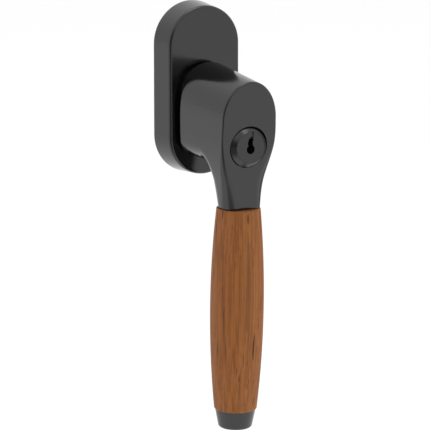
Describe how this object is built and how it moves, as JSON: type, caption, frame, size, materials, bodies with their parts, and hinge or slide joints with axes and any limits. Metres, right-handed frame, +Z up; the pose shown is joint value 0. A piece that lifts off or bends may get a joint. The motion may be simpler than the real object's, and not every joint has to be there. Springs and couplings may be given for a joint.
{
  "type": "lockable window handle",
  "caption": "Lockable turn handle for a window sash: oblong rosette, deep neck with a key cylinder, turned wooden grip and tapered end cap on a square spindle.",
  "frame": {"origin": "centre of the rosette's back face, on the spindle axis", "axes": "+Y along the spindle into the sash, -Y out of it, +Z up, +X to the right seen from the front; the handle hangs down along -Z when closed"},
  "size_m": [0.0338, 0.062, 0.1703],
  "materials": {
    "satin_black": "satin black powder coat",
    "lock_black": "gloss black plating",
    "wood": "oiled, fine straight grain",
    "zinc": "bare cast zinc",
    "steel": "zinc plated",
    "spring_steel": "plain spring steel",
    "wafer_brass": "stamped brass",
    "nylon": "moulded nylon"
  },
  "bodies": {
    "mounting": {"base_plate": "zinc", "bearing_bush": "nylon", "detent_balls": "steel", "detent_springs": "spring_steel", "detent_plugs": "steel", "cover_clips": "spring_steel"},
    "cover": {"rosette_cover": "satin_black"},
    "handle": {"handle_body": "satin_black", "drive_sleeve": "steel", "thrust_washer": "nylon", "sleeve_circlip": "spring_steel", "neck_back_plate": "steel", "back_plate_screws": "steel", "lock_housing": "lock_black", "lock_grub_screw": "steel", "locating_pin": "steel", "grip_sleeve": "wood", "tie_rod": "steel", "end_cap": "satin_black", "cap_washer": "steel"},
    "spindle": {"square_spindle": "steel"},
    "plug": {"lock_plug": "lock_black", "lock_wafers": "wafer_brass", "locking_cam": "zinc"},
    "slider": {"locking_slider": "steel"}
  },
  "joints": [
    {"name": "handle_turn", "type": "hinge", "parent": "mounting", "child": "handle", "pos_m": [0, 0, 0], "axis": [0, 1, 0], "range_deg": [0, 180]},
    {"name": "plug_turn", "type": "hinge", "parent": "handle", "child": "plug", "pos_m": [0, 0, -0.01745], "axis": [0, 1, 0], "range_deg": [0, 90]},
    {"name": "slider_lift", "type": "slide", "parent": "handle", "child": "slider", "axis": [0, 0, 1], "range_m": [0, 0.00269]},
    {"name": "spindle_slide", "type": "slide", "parent": "handle", "child": "spindle", "axis": [0, 1, 0], "range_m": [0, 0.018]},
    {"name": "cover_lift", "type": "slide", "parent": "mounting", "child": "cover", "axis": [0, -1, 0], "range_m": [0, 0.0016]}
  ],
  "couplings": [
    {"joint": "slider_lift", "follows": "plug_turn", "m_per_rad": 0.0017106}
  ]
}
